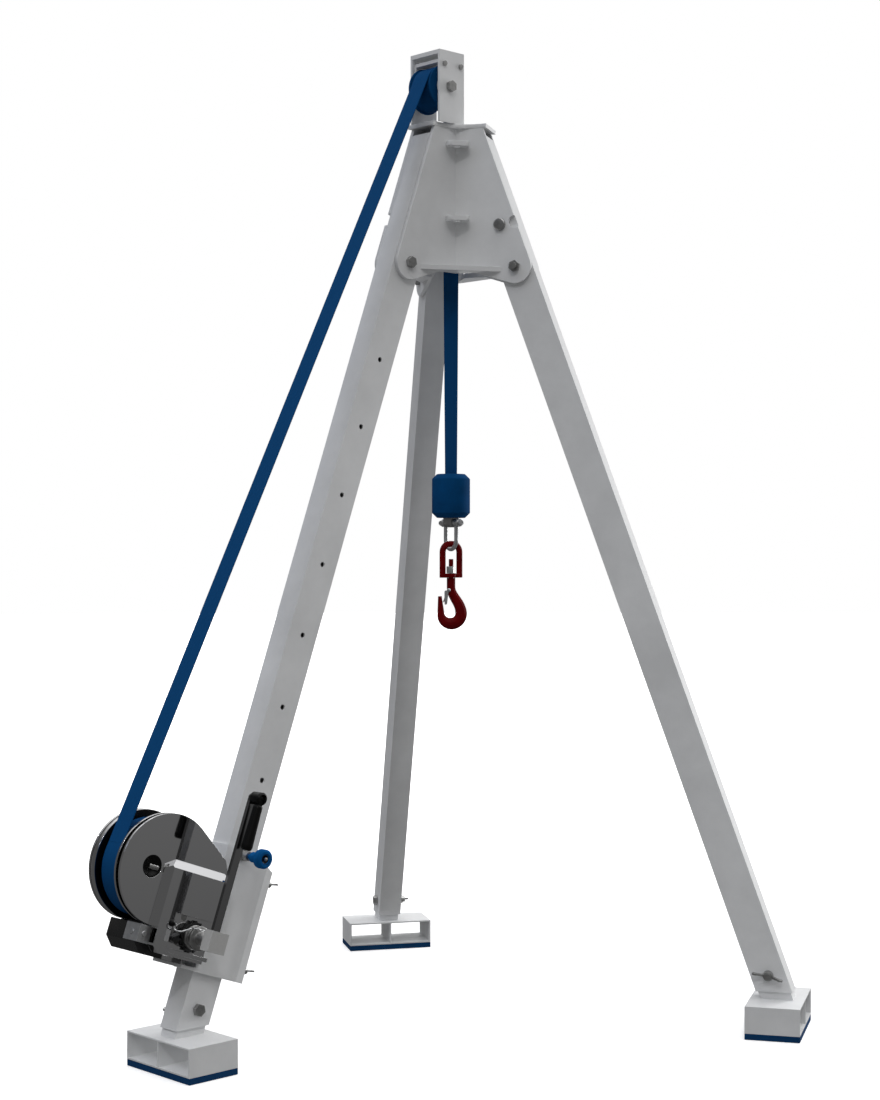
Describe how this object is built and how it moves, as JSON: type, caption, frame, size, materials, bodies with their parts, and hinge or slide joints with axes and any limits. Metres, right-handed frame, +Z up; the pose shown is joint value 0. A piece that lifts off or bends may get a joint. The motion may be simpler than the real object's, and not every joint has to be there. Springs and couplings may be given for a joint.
{
  "type": "rescue tripod",
  "caption": "Folding tripod with leaning box-section legs, a guide roller in its head, and a geared belt hand winch on one leg that lifts a swivel hook.",
  "frame": {"origin": "on the hoist axis, at the floor plane under the three pads", "axes": "+Z up along the hoist axis; the winch leg points to -Y; the crank is on the +X side"},
  "size_m": [1.5956, 1.5138, 2.2998],
  "materials": {
    "white_paint": "satin",
    "plain_steel": "satin",
    "polished_steel": "polished",
    "blue_plastic": "satin",
    "blue_webbing": "woven",
    "navy_rubber": "matte",
    "red_paint": "gloss",
    "black_plastic": "satin",
    "black_paint": "satin"
  },
  "bodies": {
    "head": {"cheek_wr": "white_paint", "cheek_rb": "white_paint", "cheek_bw": "white_paint", "top_plate": "white_paint", "head_gussets": "white_paint", "roller_box": "white_paint", "roller_spacers": "white_paint", "roller_bolts": "plain_steel", "pivot_bolts": "plain_steel", "belt_lead": "blue_webbing", "belt_over": "blue_webbing", "belt_fall": "blue_webbing"},
    "leg_w": {"leg_tube_w": "white_paint", "foot_w_box": "white_paint", "foot_pad_w": "navy_rubber", "foot_bolt_w": "plain_steel", "belt_run": "blue_webbing"},
    "lock_w": {"lock_pin_w": "plain_steel"},
    "leg_r": {"leg_tube_r": "white_paint", "foot_r_box": "white_paint", "foot_pad_r": "navy_rubber", "foot_bolt_r": "plain_steel"},
    "lock_r": {"lock_pin_r": "plain_steel"},
    "leg_b": {"leg_tube_b": "white_paint", "foot_b_box": "white_paint", "foot_pad_b": "navy_rubber", "foot_bolt_b": "plain_steel"},
    "lock_b": {"lock_pin_b": "plain_steel"},
    "carrier": {"carrier": "white_paint", "plunger_body": "plain_steel", "winch_base": "white_paint", "side_plate_near": "polished_steel", "side_plate_far": "polished_steel", "cross_beam": "black_paint", "end_block": "plain_steel", "gear_cover": "polished_steel", "drum_axle": "plain_steel", "brake_ratchet": "plain_steel", "belt_wrap": "blue_webbing"},
    "plunger": {"plunger_knob": "blue_plastic"},
    "clamp_upper": {"clamp_screw_upper": "plain_steel"},
    "clamp_lower": {"clamp_screw_lower": "plain_steel"},
    "drum": {"drum": "polished_steel", "drum_gear": "plain_steel", "belt_winding": "blue_webbing"},
    "idler": {"idler_gear": "plain_steel"},
    "crank": {"crank_shaft": "plain_steel", "brake_disc": "polished_steel", "crank_arm": "polished_steel"},
    "knuckle": {"handle_knuckle": "black_plastic"},
    "grip": {"handle_grip": "black_plastic"},
    "roller": {"roller": "blue_plastic"},
    "hook_block": {"buffer": "blue_plastic", "belt_eye": "plain_steel"},
    "shackle": {"shackle": "plain_steel", "shackle_pin": "plain_steel"},
    "bail": {"bail": "red_paint"},
    "hook": {"hook": "red_paint", "shank_nut": "plain_steel"},
    "latch": {"latch": "plain_steel"}
  },
  "joints": [
    {"name": "leg_w_fold", "type": "hinge", "parent": "head", "child": "leg_w", "pos_m": [0, -0.1695, 1.7873], "axis": [1, 0, 0], "range_deg": [0, 20], "deforming": ["belt_lead"]},
    {"name": "lock_w_draw", "type": "slide", "parent": "head", "child": "lock_w", "axis": [-1, 0, 0], "range_m": [0, 0.0215]},
    {"name": "leg_r_fold", "type": "hinge", "parent": "head", "child": "leg_r", "pos_m": [0.14679, 0.08475, 1.7873], "axis": [-0.5, 0.866, 0], "range_deg": [0, 20]},
    {"name": "lock_r_draw", "type": "slide", "parent": "head", "child": "lock_r", "axis": [0.5, -0.866, 0], "range_m": [0, 0.0215]},
    {"name": "leg_b_fold", "type": "hinge", "parent": "head", "child": "leg_b", "pos_m": [-0.14679, 0.08475, 1.7873], "axis": [-0.5, -0.866, 0], "range_deg": [0, 20]},
    {"name": "lock_b_draw", "type": "slide", "parent": "head", "child": "lock_b", "axis": [0.5, 0.866, 0], "range_m": [0, 0.0215]},
    {"name": "carrier_slide", "type": "slide", "parent": "leg_w", "child": "carrier", "axis": [0, 0.342, 0.9397], "range_m": [0, 1.176], "deforming": ["belt_run"]},
    {"name": "plunger_push", "type": "slide", "parent": "carrier", "child": "plunger", "axis": [-1, 0, 0], "range_m": [0, 0.009]},
    {"name": "clamp_upper_turn", "type": "hinge", "parent": "carrier", "child": "clamp_upper", "pos_m": [0, -0.6709, 0.40971], "axis": [0, 0.9397, -0.342], "continuous": true},
    {"name": "clamp_lower_turn", "type": "hinge", "parent": "carrier", "child": "clamp_lower", "pos_m": [0, -0.73725, 0.22741], "axis": [0, 0.9397, -0.342], "continuous": true},
    {"name": "drum_spin", "type": "hinge", "parent": "carrier", "child": "drum", "pos_m": [0, -0.8694, 0.44471], "axis": [1, 0, 0], "range_deg": [-486, 254]},
    {"name": "idler_spin", "type": "hinge", "parent": "carrier", "child": "idler", "pos_m": [0, -0.82817, 0.34004], "axis": [1, 0, 0], "range_deg": [-1020, 1950]},
    {"name": "crank_spin", "type": "hinge", "parent": "carrier", "child": "crank", "pos_m": [0, -0.81113, 0.29677], "axis": [1, 0, 0], "range_deg": [-1826, 956]},
    {"name": "knuckle_spin", "type": "hinge", "parent": "crank", "child": "knuckle", "pos_m": [0, -0.718, 0.59064], "axis": [1, 0, 0], "continuous": true},
    {"name": "grip_fold", "type": "hinge", "parent": "knuckle", "child": "grip", "pos_m": [0.1764, -0.718, 0.59064], "axis": [0, -0.9397, 0.342], "range_deg": [0, 90]},
    {"name": "roller_spin", "type": "hinge", "parent": "head", "child": "roller", "pos_m": [0, -0.0505, 2.21577], "axis": [1, 0, 0], "range_deg": [-1022, 535]},
    {"name": "hook_lift", "type": "slide", "parent": "head", "child": "hook_block", "axis": [0, 0, 1], "range_m": [-0.9, 0.471], "deforming": ["belt_fall"]},
    {"name": "shackle_swing", "type": "hinge", "parent": "hook_block", "child": "shackle", "pos_m": [0, 0, 1.179], "axis": [0.9816, -0.1908, 0], "range_deg": [-15, 15]},
    {"name": "bail_swing", "type": "hinge", "parent": "shackle", "child": "bail", "pos_m": [0, 0, 1.1279], "axis": [0.1908, 0.9816, 0], "range_deg": [-10, 10]},
    {"name": "hook_swivel", "type": "hinge", "parent": "bail", "child": "hook", "pos_m": [0, 0, 1.0464], "axis": [0, 0, 1], "continuous": true},
    {"name": "latch_open", "type": "hinge", "parent": "hook", "child": "latch", "pos_m": [-0.00354, -0.00354, 1.0164], "axis": [0.7071, -0.7071, 0], "range_deg": [0, 22], "stiffness_Nm_per_rad": 0.02, "springref_deg": -22.92}
  ],
  "couplings": [
    {"joint": "idler_spin", "follows": "drum_spin", "ratio": -4},
    {"joint": "crank_spin", "follows": "drum_spin", "ratio": 3.75},
    {"joint": "roller_spin", "follows": "drum_spin", "ratio": 2.099},
    {"joint": "hook_lift", "follows": "drum_spin", "m_per_rad": 0.106},
    {"joint": "lock_w_draw", "follows": "leg_w_fold", "m_per_rad": 0.06},
    {"joint": "lock_r_draw", "follows": "leg_r_fold", "m_per_rad": 0.06},
    {"joint": "lock_b_draw", "follows": "leg_b_fold", "m_per_rad": 0.06}
  ]
}
